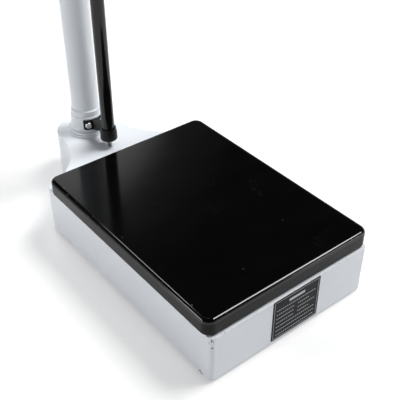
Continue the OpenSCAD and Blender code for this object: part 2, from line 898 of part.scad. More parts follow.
// The levers
module long_lever() {
    elbow_y = long_load_y + arm_lead;
    nose_y = col_y - nose_l;
    color("slategray") difference() {
        union() {
            translate([0, 0, long_z - arm_h / 2]) linear_extrude(arm_h) {
                for (s = [-1, 1]) {
                    bar_plan([s * lever_x, long_y - arm_tail], [s * lever_x, elbow_y], arm_w);
                    bar_plan([s * lever_x, elbow_y], [s * arm_w / 3, nose_y], arm_w);
                }
                bar_plan([-lever_x, elbow_y], [lever_x, elbow_y], arm_w);
                bar_plan([0, nose_y], [0, col_y + arm_tail - arm_w / 2], arm_w);
            }
            link_bar(lever_x - (lever_x - arm_w / 3) * (link_y - elbow_y) / (nose_y - elbow_y),
                long_z - link_bar_drop - link_bar_h);
        }
        long_lever_pivots();
    }
}

// The cross bar of a lever that the link hangs on
module link_bar(half, bottom) {
    translate([-half, link_y - link_bar_w / 2, bottom]) cube([2 * half, link_bar_w, link_bar_h]);
}

module arm_pivot_places(y, z) {
    mirrored() translate([(pivot_x0 + pivot_x1) / 2, y, z]) children();
}

module long_lever_pivots() {
    length = pivot_x1 - pivot_x0;
    color("silver") {
        arm_pivot_places(long_y, long_z) edge_down(length);
        arm_pivot_places(long_load_y, long_z) edge_up(length);
        translate([0, link_y, long_z]) edge_up(link_knife_l, link_knife_w, link_knife_h);
        translate([0, col_y, long_z]) edge_down(2 * stirrup_y + 2);
    }
}

module short_lever() {
    elbow_y = short_load_y - arm_lead;
    color("slategray") difference() {
        union() {
            translate([0, 0, short_z - arm_h / 2]) linear_extrude(arm_h) {
                for (s = [-1, 1]) {
                    bar_plan([s * lever_x, short_y + arm_tail], [s * lever_x, elbow_y], arm_w);
                    bar_plan([s * lever_x, elbow_y], [s * apex_x, link_y], arm_w);
                }
                bar_plan([-lever_x, elbow_y], [lever_x, elbow_y], arm_w);
            }
            link_bar(apex_x, short_z + link_bar_drop);
        }
        short_lever_pivots();
    }
}

module short_lever_pivots() {
    length = pivot_x1 - pivot_x0;
    color("silver") {
        arm_pivot_places(short_y, short_z) edge_down(length);
        arm_pivot_places(short_load_y, short_z) edge_up(length);
        translate([0, link_y, short_z]) edge_down(link_knife_l, link_knife_w, link_knife_h);
    }
}

// A closed link over the long lever's link pivot and under the short lever's
module lever_link() {
    inner_hw = arm_w / 2 + 2.5;
    color("silver") translate([0, link_y, 0]) along_x(link_t) difference() {
        translate([-inner_hw - link_rail, short_z - seat_gap - link_cap])
            square([2 * (inner_hw + link_rail), long_z - short_z + 2 * (seat_gap + link_cap)]);
        translate([-inner_hw, short_z - seat_gap])
            square([2 * inner_hw, long_z - short_z + 2 * seat_gap]);
    }
}

// The pull rod, with a stirrup at each end
module pull_rod() {
    bottom = lower_plate_z - nut_gap;
    color("silver") at_column() translate([0, 0, bottom])
        cylinder(r = pull_r, h = upper_plate_z + stirrup_plate + nut_gap - bottom);
}

// A stirrup, standing on its plate: two side plates with windows for a pivot's ends
module stirrup(side_h, window_z, window_h) {
    difference() {
        union() {
            translate([-stirrup_hw, -stirrup_y, 0]) cube([2 * stirrup_hw, 2 * stirrup_y, stirrup_plate]);
            for (s = [-1, 1]) translate([-stirrup_hw, s * (stirrup_y - stirrup_t / 2) - stirrup_t / 2, 0])
                cube([2 * stirrup_hw, stirrup_t, side_h]);
        }
        translate([-stirrup_window, -stirrup_y - eps, window_z])
            cube([2 * stirrup_window, 2 * (stirrup_y + eps), window_h]);
        translate([0, 0, -eps]) cylinder(r = pull_r + press_gap, h = stirrup_plate + 2 * eps);
    }
}

module upper_stirrup() {
    seat = pivot_z + seat_gap - upper_plate_z;
    color("silver") at_column() translate([0, 0, upper_plate_z])
        stirrup(seat + 6, seat - knife_h - 2, knife_h + 2);
}

module lower_stirrup() {
    top = lower_plate_z + stirrup_plate;
    seat = top - long_z + seat_gap;
    color("silver") at_column() translate([0, 0, top]) rotate([180, 0, 90])
        stirrup(seat + 6, seat - knife_h - 2, knife_h + 2);
}

module pull_rod_nuts() {
    color("silver") at_column()
        for (z = [
            lower_plate_z - nut_h, lower_plate_z + stirrup_plate,
            upper_plate_z - nut_h, upper_plate_z + stirrup_plate
        ])
            translate([0, 0, z]) difference() {
                cylinder(r = nut_r, h = nut_h, $fn = 6);
                translate([0, 0, -eps]) cylinder(r = pull_r + press_gap, h = nut_h + 2 * eps);
            }
}

// The beam
module beam_block() {
    top = fraction_bar_z - pivot_z + fraction_bar_h / 2 + 3;
    color("whitesmoke") difference() {
        at_column() translate([0, 0, pivot_z]) along_y(2 * block_hw) polygon([
            [-block_left, -14], [bars_x, -14], [bars_x, top], [bars_x - 16, top],
            [beam_x + 8, 14], [-block_left, 14]
        ]);
        beam_pivots();
        main_bar();
        fractional_bar();
        balance_rod(balance_r + press_gap);
    }
}

module beam_pivots() {
    color("silver") at_column() {
        translate([beam_x, 0, pivot_z]) along_y(2 * (stand_y + stand_t)) knife_section(knife_w, knife_h);
        translate([0, 0, pivot_z]) mirror([0, 0, 1])
            along_y(2 * stirrup_y + 2) knife_section(knife_w, knife_h);
    }
}

module main_bar() {
    pitch = main_travel / 6;
    color("silver") at_column() difference() {
        translate([bars_x - tenon, -main_bar_t / 2, main_bar_z - main_bar_h / 2])
            cube([bars_end - bars_x + 2 * tenon - 2, main_bar_t, main_bar_h]);
        for (i = [0:6]) translate([main_x0 + i * pitch, 0, main_bar_z + main_bar_h / 2])
            along_y(main_bar_t + 2) polygon([[-1.5, eps], [0, -2.5], [1.5, eps]]);
    }
}

module fractional_bar() {
    color("silver") at_column()
        translate([bars_x - tenon, -fraction_bar_t / 2, fraction_bar_z - fraction_bar_h / 2])
            cube([bars_end - bars_x + 2 * tenon - 2, fraction_bar_t, fraction_bar_h]);
}

module beam_end_block() {
    bottom = main_bar_z - main_bar_h / 2 - 3;
    top = fraction_bar_z + fraction_bar_h / 2 + 3;
    color("whitesmoke") difference() {
        at_column() translate([bars_end, -4, bottom]) cube([end_block_w, 8, top - bottom]);
        main_bar();
        fractional_bar();
        beam_pointer();
    }
}

module beam_pointer() {
    start = end_x - 3;
    color("black") at_column() translate([start, -pointer_t / 2, main_bar_z - pointer_h / 2])
        cube([pointer_x - start, pointer_t, pointer_h]);
}

module balance_rod(radius) {
    at_column() translate([-block_left - balance_l, 0, balance_z])
        rotate([0, 90, 0]) cylinder(r = radius, h = balance_l + 10);
}

module balance_screw() {
    color("silver") balance_rod(balance_r);
}

module balance_weight() {
    color("silver") at_column() translate([balance_x - balance_weight_w / 2, 0, balance_z])
        rotate([0, 90, 0]) difference() {
            union() {
                cylinder(r = balance_weight_r - 2, h = balance_weight_w);
                translate([0, 0, 2]) cylinder(r = balance_weight_r, h = balance_weight_w - 4);
            }
            translate([0, 0, -eps]) cylinder(r = balance_r + slide_gap, h = balance_weight_w + 2 * eps);
        }
}

// A poise at the start of its bar
module poise(x, width, half, bottom, top, bar_z, bar_h, bar_t) {
    at_column() translate([x, 0, 0]) difference() {
        along_x(width) polygon([
            [-half + 4, bottom], [half - 4, bottom], [half, bottom + 6], [half, top - 6],
            [half - 6, top], [-half + 6, top], [-half, top - 6], [-half, bottom + 6]
        ]);
        translate([-width, -bar_t / 2 - flat_gap, bar_z - bar_h / 2 - flat_gap])
            cube([2 * width, bar_t + 2 * flat_gap, bar_h + 2 * flat_gap]);
    }
}

module main_poise() {
    color("black") poise(main_x0, main_poise_w, main_poise_hw, pivot_z - main_poise_drop,
        main_bar_z + main_bar_h / 2 + main_poise_cap, main_bar_z, main_bar_h, main_bar_t);
}

module fraction_screw_place() {
    at_column() translate([fraction_x0, 0, fraction_bar_z + fraction_poise_h / 2]) children();
}

module fractional_poise() {
    color("black") difference() {
        poise(fraction_x0, fraction_poise_w, fraction_poise_hw, fraction_bar_z - fraction_poise_h / 2,
            fraction_bar_z + fraction_poise_h / 2, fraction_bar_z, fraction_bar_h, fraction_bar_t);
        fraction_screw_place() translate([0, 0, -fraction_screw_l - eps])
            cylinder(r = fraction_screw_r + press_gap, h = fraction_screw_l + 2 * eps);
    }
}

// The knob on top of the fractional poise, by which it is pushed along
module fractional_poise_screw() {
    color("silver") fraction_screw_place() {
        cylinder(r = 3.5, h = 5);
        translate([0, 0, -fraction_screw_l]) cylinder(r = fraction_screw_r, h = fraction_screw_l);
    }
}

base_casting();
bottom_cover();
cover_screws();
feet();
foot_screws();
name_plate();
lever_seats();
column_collar();
collar_set_screws();
column_tube();
rod_bracket_lower();
lower_bracket_screws();
rod_bracket_upper();
upper_bracket_screws();
rod_end_cap();
rod_foot_screw();
rod_outer_tube();
rod_outer_guide();
rod_middle_tube();
rod_middle_guide();
rod_inner_tube();
head_bar_bracket();
head_bar_pin();
head_bar();
head_casting();
head_set_screws();
beam_stand();
stand_screws();
beam_seats();
beam_guard();
platform_tray();
platform_frame();
platform_seats();
long_lever();
long_lever_pivots();
short_lever();
short_lever_pivots();
lever_link();
pull_rod();
lower_stirrup();
upper_stirrup();
pull_rod_nuts();
beam_block();
beam_pivots();
main_bar();
fractional_bar();
beam_end_block();
beam_pointer();
balance_screw();
balance_weight();
main_poise();
fractional_poise();
fractional_poise_screw();
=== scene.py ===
# %% [markdown]
# # A mechanical body scale
#
# The object is a lever platform scale: a black enamelled platform on a white cast base, a column
# that carries a balance beam with two poises, and a telescopic height rod with a folding bar.
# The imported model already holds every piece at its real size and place. This lesson gives the
# pieces their looks: rounded edges, enamel, chrome, rubber, a ruled plate and graduations.

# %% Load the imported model
import json
import math
import bmesh
import bpy
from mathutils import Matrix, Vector


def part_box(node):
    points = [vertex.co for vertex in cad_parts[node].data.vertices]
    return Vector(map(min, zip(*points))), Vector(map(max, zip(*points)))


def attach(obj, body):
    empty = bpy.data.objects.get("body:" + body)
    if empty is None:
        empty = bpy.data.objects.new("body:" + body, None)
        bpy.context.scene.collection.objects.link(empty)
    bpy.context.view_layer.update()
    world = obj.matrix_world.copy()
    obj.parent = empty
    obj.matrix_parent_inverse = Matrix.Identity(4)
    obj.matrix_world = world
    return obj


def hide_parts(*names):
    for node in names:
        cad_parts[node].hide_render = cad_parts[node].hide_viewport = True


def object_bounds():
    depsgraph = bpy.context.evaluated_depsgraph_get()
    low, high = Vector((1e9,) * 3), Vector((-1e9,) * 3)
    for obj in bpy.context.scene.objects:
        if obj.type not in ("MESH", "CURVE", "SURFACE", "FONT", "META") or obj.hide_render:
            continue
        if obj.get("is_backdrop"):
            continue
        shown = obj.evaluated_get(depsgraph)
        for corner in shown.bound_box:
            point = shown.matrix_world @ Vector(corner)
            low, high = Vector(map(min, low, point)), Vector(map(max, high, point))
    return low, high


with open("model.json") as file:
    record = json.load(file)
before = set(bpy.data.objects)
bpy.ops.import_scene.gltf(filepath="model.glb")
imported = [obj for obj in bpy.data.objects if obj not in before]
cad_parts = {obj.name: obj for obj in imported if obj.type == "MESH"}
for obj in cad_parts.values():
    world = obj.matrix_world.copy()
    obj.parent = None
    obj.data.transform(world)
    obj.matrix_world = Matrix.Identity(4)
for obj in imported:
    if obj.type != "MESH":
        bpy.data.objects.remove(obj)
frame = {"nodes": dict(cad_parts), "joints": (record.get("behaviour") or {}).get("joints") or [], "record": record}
cad_low, cad_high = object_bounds()
record = frame["record"]
body_of = {node: body for body, nodes in record["behaviour"]["bodies"].items() for node in nodes}
slot_of = {part["node"]: part["material_slot"] for part in record["subparts"]}
joint_range = {joint["name"]: joint.get("range_m") for joint in frame["joints"]}
MM = 0.001

# %% [markdown]
# ## The camera
#
# The outline of the platform is a rectangle of known size, and its four edges fix where the
# camera stood: half a metre to the left, a little more in front, and looking down by 37 degrees.
# A camera in Blender looks along its own -Z, so a function first turns two angles into a
# direction, and Blender then turns the camera along it.

# %% Set up the camera
camera_place = (-0.5163, -0.6482, 0.6302)
camera_turn = math.radians(38.41)
camera_dip = math.radians(37.06)
focal_pixels = 731.2
frame_pixels = 400
nearest_seen = 0.05


def heading(turn, rise):
    """The direction that is turned to the right of +Y and rises above the horizon, in radians."""
    return Vector((
        math.sin(turn) * math.cos(rise),
        math.cos(turn) * math.cos(rise),
        math.sin(rise),
    ))


camera = bpy.data.objects.new("camera", bpy.data.cameras.new("camera"))
camera.location = camera_place
camera.rotation_euler = heading(camera_turn, -camera_dip).to_track_quat("-Z", "Y").to_euler()
camera.data.lens = camera.data.sensor_width * focal_pixels / frame_pixels
camera.data.clip_start = nearest_seen
bpy.context.scene.collection.objects.link(camera)
bpy.context.scene.camera = camera
bpy.context.scene.view_settings.view_transform = "Standard"
print("lens", round(camera.data.lens, 1), "mm")

# %% [markdown]
# ## Wires that do sums
#
# A finish is a network of small nodes, and a long network is hard to read as a list of links.
# Here one socket is wrapped in a class, and Python's own signs add the Math nodes: `1 - mask`
# makes a Subtract node. Any other node comes from one method, which takes the node's type, its
# settings and the values or wires of its sockets.

# %% A wire and a tree of nodes
class Wire:
    """A socket of a tree, which can stand in a sum."""

    def __init__(self, tree, socket):
        self.tree = tree
        self.socket = socket

    def maths(self, operation, *values):
        return self.tree.node("ShaderNodeMath", {"operation": operation}, dict(enumerate(values)))

    def __add__(self, other):
        return self.maths("ADD", self, other)

    def __sub__(self, other):
        return self.maths("SUBTRACT", self, other)

    def __rsub__(self, other):
        return self.maths("SUBTRACT", other, self)

    def __mul__(self, other):
        return self.maths("MULTIPLY", self, other)

    def above(self, edge, soft=0.0):
        """1 where the wire is above edge and 0 below it, with a soft step between."""
        if not soft:
            return self.maths("GREATER_THAN", self, edge)
        values = {"Value": self, "From Min": edge - soft, "From Max": edge + soft}
        return self.tree.node("ShaderNodeMapRange", {"interpolation_type": "SMOOTHSTEP"}, values)

    __radd__ = __add__
    __rmul__ = __mul__


class Tree:
    """The node tree of a material or of the world."""

    def __init__(self, owner):
        owner.use_nodes = True
        self.nodes = owner.node_tree.nodes
        self.links = owner.node_tree.links

    def node(self, kind, settings=None, values=None, output=0):
        made = self.nodes.new(kind)
        for name, setting in (settings or {}).items():
            setattr(made, name, setting)
        for name, value in (values or {}).items():
            self.join(value, made.inputs[name])
        return Wire(self, made.outputs[output])

    def join(self, value, socket):
        if isinstance(value, Wire):
            self.links.new(value.socket, socket)
        else:
            socket.default_value = value

    def mix(self, share, low, high):
        """A colour between low and high. The colours of a Mix node are its sockets 6 and 7."""
        values = {0: share, 6: low, 7: high}
        return self.node("ShaderNodeMix", {"data_type": "RGBA"}, values, output=2)

    def vectors(self, operation, first, second, output=0):
        values = {0: first, 1: second}
        return self.node("ShaderNodeVectorMath", {"operation": operation}, values, output)

    def noise(self, point, scale, detail=2.0):
        """Soft noise from 0 to 1; scale is in bumps to the metre."""
        values = {"Vector": point, "Scale": scale, "Detail": detail}
        return self.node("ShaderNodeTexNoise", {}, values)

    def coordinate(self, point, axis):
        """One of the point's three coordinates: 0 is x, 1 is y and 2 is z."""
        return self.node("ShaderNodeSeparateXYZ", {}, {0: point}, output=axis)


print("wires and trees are ready")

# %% [markdown]
# ## The floor
#
# The scale stands in a plain pale studio, on a large pale disc. A white floor could be had from
# more light, but then the white enamel would turn white as well and lose its tones. So the disc
# glows a little instead, and only for the rays that see it straight, in a mirror or through
# glass. No light comes from this glow, and the soft shadow of the scale stays on it.

# %% Lay the floor
floor_radius = 25.0
floor_sides = 96
floor_roughness, floor_shine = 0.9, 0.1


def grey(value):
    return (value, value, value, 1)


floor_shade, floor_glow, no_glow = grey(0.70), grey(0.36), grey(0)


def disc(name, radius, z, sides):
    mesh = bpy.data.meshes.new(name)
    angles = [2 * math.pi * i / sides for i in range(sides)]
    corners = [(radius * math.cos(a), radius * math.sin(a), z) for a in angles]
    mesh.from_pydata(corners, [], [list(range(sides))])
    made = bpy.data.objects.new(name, mesh)
    bpy.context.scene.collection.objects.link(made)
    return made


def background_rays(tree):
    """1 for the rays that see the background: straight, mirrored or through glass."""
    path = tree.nodes.new("ShaderNodeLightPath")
    kinds = ("Is Camera Ray", "Is Glossy Ray", "Is Transmission Ray")
    straight, mirrored, through = [Wire(tree, path.outputs[kind]) for kind in kinds]
    return (straight + mirrored + through).above(0.5)


floor = disc("floor", floor_radius, cad_low.z, floor_sides)
floor_paint = bpy.data.materials.new("floor_paint")
tree = Tree(floor_paint)
shader = tree.nodes["Principled BSDF"]
shader.inputs["Base Color"].default_value = floor_shade
shader.inputs["Roughness"].default_value = floor_roughness
shader.inputs["Specular IOR Level"].default_value = floor_shine
shader.inputs["Emission Strength"].default_value = 1.0
tree.join(tree.mix(background_rays(tree), no_glow, floor_glow), shader.inputs["Emission Color"])
floor.data.materials.append(floor_paint)
floor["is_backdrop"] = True
print("floor at", round(cad_low.z, 4), "m")

# %% [markdown]
# ## The air
#
# Gloss black enamel shows what hangs over it. So the air is pale at the horizon, which gives
# the upright pieces their bright sides, and dark higher up, which keeps the platform black. One
# bright round spot with a faint halo stands behind the scale, and the platform mirrors it as a
# soft sheen towards its left corner. The spot is found by its angle from one direction.

# %% Fill the air
horizon_shade = (0.70, 0.705, 0.715, 1)
high_shade = (0.012, 0.012, 0.013, 1)
glow_shade = (2.4, 2.42, 2.46, 1)
halo_shade = (0.16, 0.16, 0.165, 1)
fade_from, fade_to = 12, 28
glow_turn, glow_rise = 23.5, 28
glow_from, glow_to = 7.5, 11.5
halo_from, halo_to = 11, 17
glow_side = heading(math.radians(glow_turn), math.radians(glow_rise))


def step_between(wire, low, high):
    """0 where the wire is below low, 1 where it is above high, and a soft step between."""
    return wire.above((low + high) / 2, (high - low) / 2)


def spot(nearness, inner, outer):
    """1 within the inner angle of the glow's middle, in degrees, and 0 beyond the outer one."""
    return step_between(nearness, math.cos(math.radians(outer)), math.cos(math.radians(inner)))


world = bpy.data.worlds.new("studio_air")
bpy.context.scene.world = world
tree = Tree(world)
direction = tree.node("ShaderNodeTexCoord")
rising = step_between(
    tree.coordinate(direction, 2), math.sin(math.radians(fade_from)), math.sin(math.radians(fade_to)))
nearness = tree.vectors("DOT_PRODUCT", direction, glow_side, output=1)
high = tree.mix(spot(nearness, halo_from, halo_to), high_shade, halo_shade)
high = tree.mix(spot(nearness, glow_from, glow_to), high, glow_shade)
tree.join(tree.mix(rising, horizon_shade, high), tree.nodes["Background"].inputs["Color"])
print("air fades between", fade_from, "and", fade_to, "degrees above the horizon")

# %% [markdown]
# ## The lamps
#
# Area lamps give soft light, like a window with a thin cloth before it. A big one hangs high on
# the right and throws the soft shadow to the left. Three weaker ones do the rest: one behind
# puts a line of light on rolled edges, and one at each side lifts the walls. A bigger lamp
# makes a softer shadow, and a lamp further away lights the high column and the low base alike.

# %% Hang the lamps
lamps = {
    "overhead": {"place": (2.5, -0.6, 4.2), "aim": (0.0, 0.05, 0.0), "size": (2.2, 2.0), "watts": 225},
    "back_left": {"place": (0.05, 1.25, 1.65), "aim": (-0.1, -0.1, 0.0), "size": (0.6, 0.5), "watts": 9},
    "left_side": {"place": (-2.4, 1.0, 0.8), "aim": (0.0, 0.1, 0.3), "size": (1.0, 1.2), "watts": 20},
    "right_side": {"place": (1.8, -1.9, 0.7), "aim": (0.0, 0.1, 0.2), "size": (1.0, 0.8), "watts": 7.5},
}


def softbox(name, place, aim, size, watts):
    lamp = bpy.data.objects.new(name, bpy.data.lights.new(name, "AREA"))
    lamp.data.shape = "RECTANGLE"
    lamp.data.size, lamp.data.size_y = size
    lamp.data.energy = watts
    lamp.location = place
    lamp.rotation_euler = (Vector(aim) - Vector(place)).to_track_quat("-Z", "Y").to_euler()
    bpy.context.scene.collection.objects.link(lamp)


for name, settings in lamps.items():
    softbox(name, **settings)
print(len(lamps), "lamps")

# %% [markdown]
# ## Parts of a finish
#
# Every finish starts the same way: a material, its tree, its shader and the point of the
# surface that is being coloured, measured in metres. Two more things come back in nearly all of
# them: the mark "edge", which the rounded edges of a piece carry, and a bump of a known depth.

# %% Start a finish
finishes = {}


def new_finish(name, **constants):
    """Keeps a new material. Constants are sockets of its shader, with _ for a space."""
    finishes[name] = bpy.data.materials.new(name)
    tree = Tree(finishes[name])
    shader = tree.nodes["Principled BSDF"]
    for socket, value in constants.items():
        shader.inputs[socket.replace("_", " ")].default_value = value
    point = tree.node("ShaderNodeTexCoord", output="Object")
    return tree, shader, point


def edge_mark(tree):
    return tree.node("ShaderNodeAttribute", {"attribute_name": "edge"}, output="Fac")


def rough_skin(tree, shader, height, depth):
    """A bump of that depth, in metres, from a height between 0 and 1."""
    values = {"Strength": 1.0, "Distance": depth, "Height": height}
    tree.join(tree.node("ShaderNodeBump", {}, values), shader.inputs["Normal"])


print("finishes so far:", len(finishes))

# %% [markdown]
# ## Enamel
#
# The castings and the platform are enamelled: a thick gloss paint that flows out almost flat.
# What is left is a faint orange peel, a little unevenness of the metal below, and chips along
# edges where the primer shows. One function makes all the paints, from noise at sizes measured
# in millimetres. A few knocked places are listed near the base's front left corner.

# %% Make a paint
cloud_scale, rub_scale, swell_scale = 14, 45, 60
chip_scale, grit_scale = 260, 900
knock_scale, knock_pull, knock_level = 420, 0.27, 0.76
rub_share = 0.08


def knocks(tree, point, places):
    """Ragged chips round a few places where the enamel has been knocked off."""
    near = 0.0
    for place, reach in places:
        away = tree.vectors("DISTANCE", point, place, output=1)
        near = near + (1 - away.above(reach * 0.6, reach * 0.4))
    return (tree.noise(point, knock_scale, 3.0) + near * knock_pull).above(knock_level, 0.01)


def paint(name, colour, shade, roughness, chip_colour, chips=0.66, peel=320, depth=0.03 * MM,
          shine=0.5, places=()):
    """Enamel in two near tones. It is chipped where the noise along an edge is above chips."""
    tree, shader, point = new_finish(name, Specular_IOR_Level=shine)
    grit = tree.noise(point, grit_scale, 3.0)
    ragged = tree.noise(point, chip_scale, 4.0) * 0.75 + grit * 0.25
    chip = edge_mark(tree) * ragged.above(chips, 0.012)
    if places:
        chip = chip.maths("MAXIMUM", chip, knocks(tree, point, places))
    body = tree.mix(tree.noise(point, cloud_scale, 4.0), colour, shade)
    tree.join(tree.mix(chip, body, chip_colour), shader.inputs["Base Color"])
    rub = tree.noise(point, rub_scale, 5.0) * rub_share - rub_share / 2
    tree.join(roughness + rub + chip * 0.3, shader.inputs["Roughness"])
    skin = tree.noise(point, peel, 2.0) * 0.6 + tree.noise(point, swell_scale, 2.0)
    rough_skin(tree, shader, skin - chip * 0.8, depth)


print("paint has noise of", cloud_scale, "to", grit_scale, "bumps to the metre")

# %% Mix the paints
white, white_shade = (0.80, 0.835, 0.88, 1), (0.77, 0.805, 0.85, 1)
dark_primer = (0.07, 0.07, 0.075, 1)
front_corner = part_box("base_casting")[0]
# Each knocked place is (where it is from the lower front left corner, how far it reaches).
knocked = [
    (front_corner + Vector((1.5, 1.5, 70)) * MM, 7 * MM),
    (front_corner + Vector((2.5, 1.0, 60)) * MM, 3 * MM),
    (front_corner + Vector((0.0, 20.0, 1.0)) * MM, 8 * MM),
    (front_corner + Vector((0.0, 342.0, 1.0)) * MM, 4 * MM),
]
paint("white_enamel", white, white_shade, 0.30, dark_primer, chips=0.60, depth=0.023 * MM, places=knocked)
paint("tube_black", grey(0.004), grey(0.007), 0.12, grey(0.16), chips=0.7, depth=0.01 * MM, shine=0.4)
paint("bracket_black", grey(0.005), grey(0.009), 0.26, grey(0.18), chips=0.64, peel=600, shine=0.2)
paint("poise_black", (0.012, 0.012, 0.013, 1), (0.018, 0.018, 0.02, 1), 0.24, (0.22, 0.21, 0.20, 1),
      chips=0.62)
paint("frame_steel", (0.05, 0.05, 0.055, 1), (0.035, 0.035, 0.038, 1), 0.55, (0.25, 0.20, 0.17, 1),
      chips=0.6)
paint("cover_sheet", (0.40, 0.41, 0.42, 1), (0.36, 0.37, 0.38, 1), 0.45, grey(0.5))
paint("lever_iron", (0.16, 0.165, 0.17, 1), (0.11, 0.115, 0.12, 1), 0.6, (0.3, 0.29, 0.28, 1),
      chips=0.6, peel=700, depth=0.12 * MM, shine=0.3)
print(len(finishes), "paints")

# %% [markdown]
# ## The platform's enamel
#
# The platform is what the eye sees first: deep black, glossy enough to mirror the column, with
# a few specks of dust, small pits, hairline scratches and the faint smears of use. Each of these
# is a mask of its own. Dust is a speck at the centre of a few cells of a Voronoi pattern, and a
# scratch is a thin line where stretched noise passes one value. Shoes have polished the rolled
# edge at the front, so a clear coat grows there towards the front.

# %% Draw specks and scratches
scratch_width, scratch_softness = 0.0022, 0.0015
patch_scale = 16


def specks(tree, point, cells, size, share):
    """Small round dots, one in a share of the cells; cells is how many to the metre."""
    settings = {"feature": "F1", "voronoi_dimensions": "3D"}
    near = tree.node("ShaderNodeTexVoronoi", settings, {"Vector": point, "Scale": cells})
    colour = Wire(tree, near.socket.node.outputs["Color"])
    chosen = tree.node("ShaderNodeSeparateColor", {}, {0: colour}).above(1 - share)
    radius = size * cells
    return chosen * (1 - near.above(radius, radius * 0.35))


def scratches(tree, point, stretch, share):
    """Thin lines, in a share of the surface. stretch is how often the noise turns, by axis."""
    field = tree.noise(tree.vectors("MULTIPLY", point, stretch), 1.0, 1.0) - 0.5
    line = 1 - field.maths("ABSOLUTE", field).above(scratch_width, scratch_softness)
    return line * tree.noise(point, patch_scale, 2.0).above(1 - share, 0.04)


print("a scratch runs where the noise is within", scratch_width, "of its middle")

# %% Make the platform's enamel
deep_black, smeared_black = grey(0.0012), (0.0028, 0.0028, 0.0029, 1)
dust_colour, bare_colour = (0.52, 0.52, 0.50, 1), grey(0.22)
lengthways, crossways = (420, 14, 60), (26, 300, 60)
smear_stretch, smear_scale = (1.0, 2.4, 1.0), 9
polished_y, polish_fade = -0.04, 0.12

tree, shader, point = new_finish("platform_black", Specular_IOR_Level=0.13, Coat_Roughness=0.05)
dust = specks(tree, point, cells=46, size=0.50 * MM, share=0.18)
grit = specks(tree, point, cells=210, size=0.20 * MM, share=0.05)
pits = specks(tree, point, cells=24, size=1.1 * MM, share=0.10)
lines = scratches(tree, point, lengthways, 0.36) + scratches(tree, point, crossways, 0.34)
smear = tree.noise(tree.vectors("MULTIPLY", point, smear_stretch), smear_scale, 5.0)
chip = edge_mark(tree) * tree.noise(point, 300, 4.0).above(0.70, 0.01)
enamel = tree.mix(smear, deep_black, smeared_black)
dusty = tree.mix(dust * 0.30 + grit * 0.10 + lines * 0.03, enamel, dust_colour)
tree.join(tree.mix(chip, dusty, bare_colour), shader.inputs["Base Color"])
forwards = 1 - tree.coordinate(point, 1).above(polished_y, polish_fade)
tree.join(edge_mark(tree) * forwards * 0.6, shader.inputs["Coat Weight"])
tree.join(0.07 + smear * 0.08 + lines * 0.12 + dust * 0.5, shader.inputs["Roughness"])
peel_and_swell = tree.noise(point, 240, 2.0) * 0.30 + tree.noise(point, 34, 2.0) * 1.2
rough_skin(tree, shader, peel_and_swell - pits * 1.6 + dust, 0.018 * MM)
print("platform enamel made of", len(tree.nodes), "nodes")

# %% [markdown]
# ## Plastic and rubber
#
# The caps and guides of the height rod are moulded: a fine matt grain that shines a little where
# hands have polished it. The feet are rubber, duller still and dusty. Both are the same recipe
# with other numbers: a grain for the bump, and a cloud that changes colour and roughness.

# %% Make the moulded finishes
def moulded(name, colour, worn, roughness, grain, depth):
    tree, shader, point = new_finish(name, Specular_IOR_Level=0.22)
    cloud = tree.noise(point, 60, 5.0)
    fine = tree.noise(point, grain, 3.0)
    rub = (edge_mark(tree) * 0.5 + cloud * 0.6).above(0.55, 0.3)
    tree.join(tree.mix(rub, colour, worn), shader.inputs["Base Color"])
    tree.join(roughness + fine * 0.12 - rub * 0.08, shader.inputs["Roughness"])
    rough_skin(tree, shader, fine + cloud * 0.3, depth)


moulded("cap_plastic", grey(0.007), grey(0.012), roughness=0.27, grain=1400, depth=0.02 * MM)
moulded("foot_rubber", grey(0.022), (0.055, 0.053, 0.05, 1), roughness=0.72, grain=900, depth=0.08 * MM)
print("plastic and rubber made")

# %% [markdown]
# ## Bare metal
#
# Chrome, nickel, zinc and ground steel differ in how they were worked. Plating on a drawn tube
# shows long faint lines, a nickelled bar is brushed along its length, and a small screw is
# evenly dull. Stretching the noise along one axis gives all of these, and a darker film collects
# in clouds. The lines change only the roughness and the bump, as they do on the real metal.

# %% Make the metals
along_x, along_z, no_way = (18, 2600, 2600), (1500, 1500, 14), (900, 900, 900)
film_share = 0.35


def metal(name, colour, film, roughness, grain, depth):
    tree, shader, point = new_finish(name, Metallic=1.0)
    lines = tree.noise(tree.vectors("MULTIPLY", point, grain), 1.0, 3.0)
    stain = tree.noise(point, 38, 5.0).above(1 - film_share, 0.22)
    tree.join(tree.mix(stain - edge_mark(tree) * 0.25, colour, film), shader.inputs["Base Color"])
    tree.join(roughness + lines * 0.12 + stain * 0.06, shader.inputs["Roughness"])
    rough_skin(tree, shader, lines + tree.noise(point, 700, 2.0) * 0.3, depth)


metal("chrome_tube", (0.80, 0.81, 0.82, 1), (0.66, 0.67, 0.68, 1), 0.05, along_z, 0.003 * MM)
metal("bar_steel", (0.66, 0.655, 0.64, 1), (0.52, 0.51, 0.49, 1), 0.22, along_x, 0.006 * MM)
metal("screw_steel", (0.70, 0.70, 0.69, 1), (0.50, 0.49, 0.46, 1), 0.20, no_way, 0.01 * MM)
metal("stud_steel", (0.34, 0.34, 0.345, 1), (0.22, 0.21, 0.20, 1), 0.38, no_way, 0.02 * MM)
metal("pivot_steel", (0.50, 0.50, 0.51, 1), (0.36, 0.35, 0.34, 1), 0.26, no_way, 0.01 * MM)
metal("rod_steel", (0.58, 0.58, 0.59, 1), (0.44, 0.43, 0.42, 1), 0.28, along_z, 0.008 * MM)
print(len(finishes), "finishes so far")

# %% [markdown]
# ## The plate's print and the inks
#
# A black plate sits on the front wall. Its ground is a satin black print, and the rules of its
# form are laid on it later as thin strips of pale ink. The same recipe gives the dark ink of the
# graduations: two near tones in clouds, and a fine grain in the roughness and the bump.

